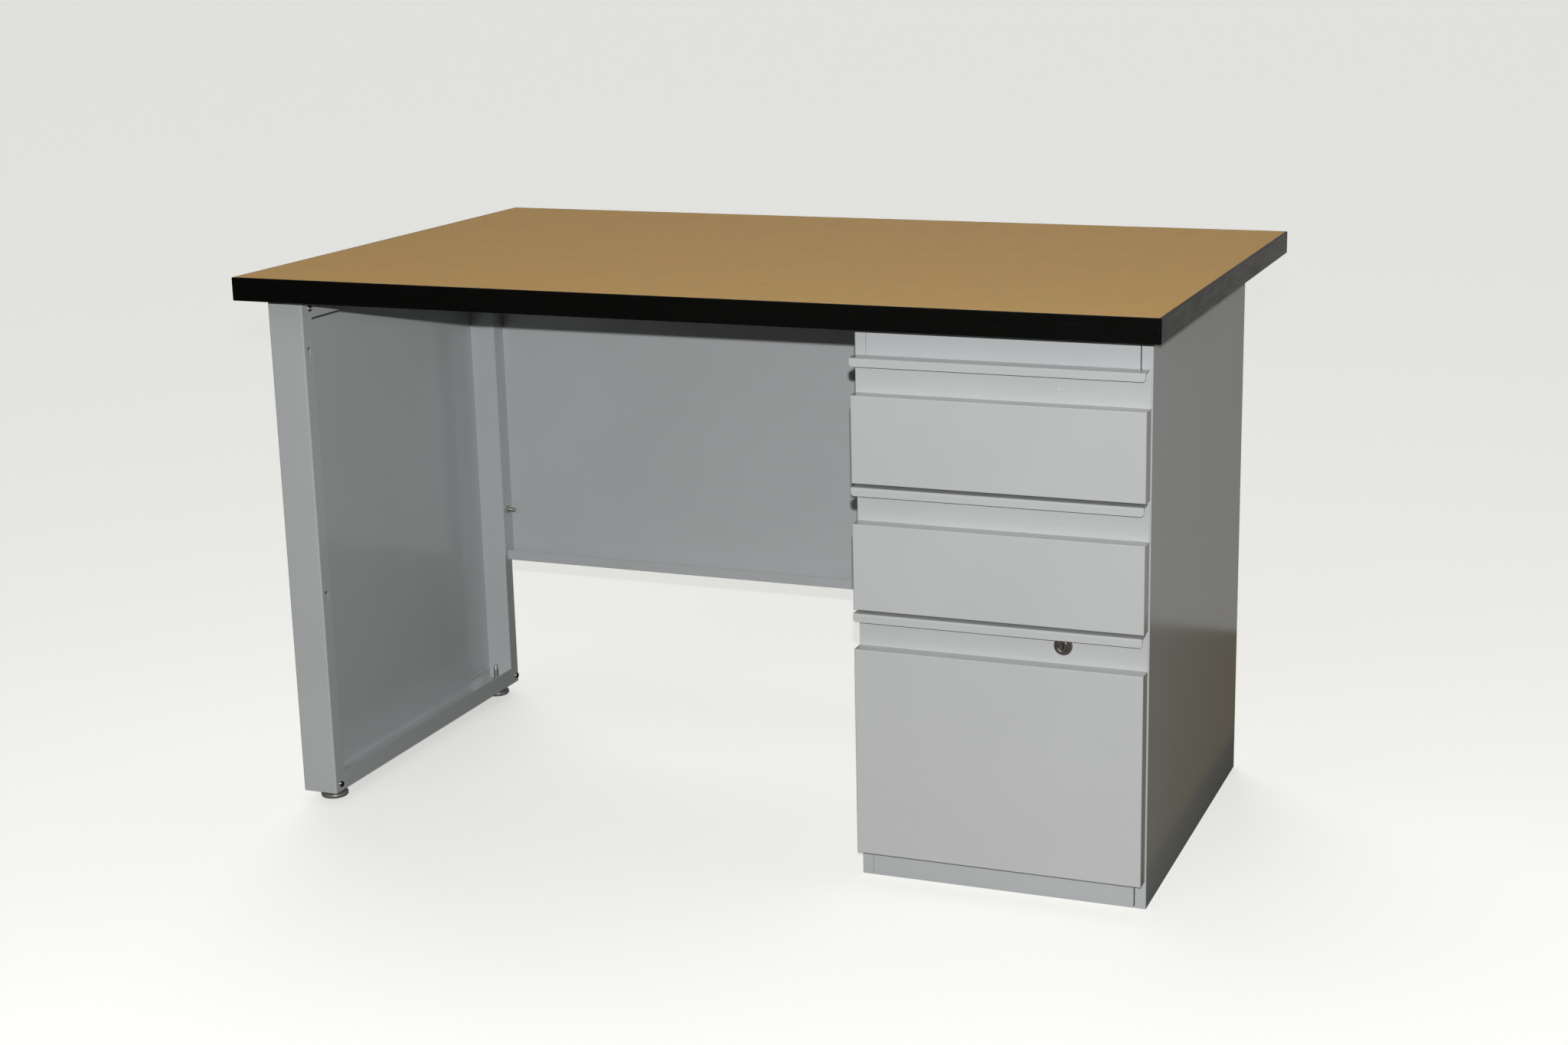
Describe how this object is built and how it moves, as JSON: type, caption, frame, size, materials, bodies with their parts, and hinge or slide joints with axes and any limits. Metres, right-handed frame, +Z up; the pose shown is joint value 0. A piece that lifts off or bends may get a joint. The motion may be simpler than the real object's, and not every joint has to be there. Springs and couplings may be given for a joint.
{
  "type": "teacher desk",
  "caption": "Single-pedestal steel desk with a laminate top, open panel end, modesty panel, two box drawers, a locking file drawer and recessed pull lips.",
  "frame": {"origin": "on the floor under the middle of the worktop", "axes": "+X along the desk to the user's right, +Y away from the user, +Z up"},
  "size_m": [1.2192, 0.762, 0.7286],
  "materials": {
    "laminate": "matt high-pressure laminate, tan with a faint fleck",
    "particleboard": "raw particleboard",
    "backer": "brown phenolic backer sheet",
    "edge_band": "black satin edge band",
    "case_paint": "light grey powder coat, semi-gloss",
    "drawer_paint": "light grey powder coat, semi-gloss",
    "zinc_screw": "zinc-plated",
    "glide_steel": "plated steel",
    "slide_steel": "bright zinc-plated steel",
    "lock_nickel": "nickel-plated die casting",
    "cam_steel": "zinc-plated steel",
    "rubber": "black rubber"
  },
  "bodies": {
    "desk_frame": {"drawer_bumpers": "rubber", "end_panel_bottom_rail": "case_paint", "end_panel_corner_screws": "zinc_screw", "end_panel_shell": "case_paint", "end_panel_top_rail": "case_paint", "file_slide_outer_members": "slide_steel", "glide_nuts": "zinc_screw", "lock_strike": "cam_steel", "lower_slide_outer_members": "slide_steel", "modesty_bolts": "zinc_screw", "modesty_nuts": "zinc_screw", "modesty_panel": "case_paint", "pedestal_back": "case_paint", "pedestal_base_panel": "case_paint", "pedestal_bottom_pan": "case_paint", "pedestal_left_side": "case_paint", "pedestal_lock_rail": "case_paint", "pedestal_rear_rail": "case_paint", "pedestal_right_side": "case_paint", "pedestal_rivets": "zinc_screw", "pedestal_top_panel": "case_paint", "slide_uprights": "case_paint", "upper_slide_outer_members": "slide_steel", "worktop_backer": "backer", "worktop_core": "particleboard", "worktop_edge_band": "edge_band", "worktop_laminate": "laminate", "worktop_screws": "zinc_screw"},
    "upper_drawer": {"upper_drawer_back": "case_paint", "upper_drawer_front": "drawer_paint", "upper_drawer_front_screws": "zinc_screw", "upper_drawer_inner_front": "case_paint", "upper_drawer_tray": "case_paint", "upper_slide_inner_members": "slide_steel"},
    "upper_middle_members": {"upper_slide_middle_members": "slide_steel"},
    "lower_drawer": {"lower_drawer_back": "case_paint", "lower_drawer_front": "drawer_paint", "lower_drawer_front_screws": "zinc_screw", "lower_drawer_inner_front": "case_paint", "lower_drawer_tray": "case_paint", "lower_slide_inner_members": "slide_steel"},
    "lower_middle_members": {"lower_slide_middle_members": "slide_steel"},
    "file_drawer": {"file_drawer_back": "case_paint", "file_drawer_front": "drawer_paint", "file_drawer_front_screws": "zinc_screw", "file_drawer_inner_front": "case_paint", "file_drawer_tray": "case_paint", "file_slide_inner_members": "slide_steel", "hanging_folder_rails": "case_paint", "lock_cylinder": "lock_nickel", "lock_nut": "zinc_screw"},
    "file_middle_members": {"file_slide_middle_members": "slide_steel"},
    "lock_barrel": {"lock_plug": "lock_nickel", "lock_cam": "cam_steel", "cam_screw": "zinc_screw"},
    "front_glide_body": {"front_glide": "glide_steel"},
    "rear_glide_body": {"rear_glide": "glide_steel"}
  },
  "joints": [
    {"name": "upper_drawer_slide", "type": "slide", "parent": "desk_frame", "child": "upper_drawer", "axis": [0, -1, 0], "range_m": [0, 0.43]},
    {"name": "upper_middle_slide", "type": "slide", "parent": "desk_frame", "child": "upper_middle_members", "axis": [0, -1, 0], "range_m": [0, 0.215]},
    {"name": "lower_drawer_slide", "type": "slide", "parent": "desk_frame", "child": "lower_drawer", "axis": [0, -1, 0], "range_m": [0, 0.43]},
    {"name": "lower_middle_slide", "type": "slide", "parent": "desk_frame", "child": "lower_middle_members", "axis": [0, -1, 0], "range_m": [0, 0.215]},
    {"name": "file_drawer_slide", "type": "slide", "parent": "desk_frame", "child": "file_drawer", "axis": [0, -1, 0], "range_m": [0, 0.43]},
    {"name": "file_middle_slide", "type": "slide", "parent": "desk_frame", "child": "file_middle_members", "axis": [0, -1, 0], "range_m": [0, 0.215]},
    {"name": "lock_turn", "type": "hinge", "parent": "file_drawer", "child": "lock_barrel", "pos_m": [0.4865, -0.3358, 0.3237], "axis": [0, 1, 0], "range_deg": [0, 90]},
    {"name": "front_glide_height", "type": "slide", "parent": "desk_frame", "child": "front_glide_body", "axis": [0, 0, 1], "range_m": [-0.012, 0.002]},
    {"name": "rear_glide_height", "type": "slide", "parent": "desk_frame", "child": "rear_glide_body", "axis": [0, 0, 1], "range_m": [-0.012, 0.002]}
  ],
  "couplings": [
    {"joint": "upper_middle_slide", "follows": "upper_drawer_slide", "ratio": 0.5},
    {"joint": "lower_middle_slide", "follows": "lower_drawer_slide", "ratio": 0.5},
    {"joint": "file_middle_slide", "follows": "file_drawer_slide", "ratio": 0.5}
  ]
}
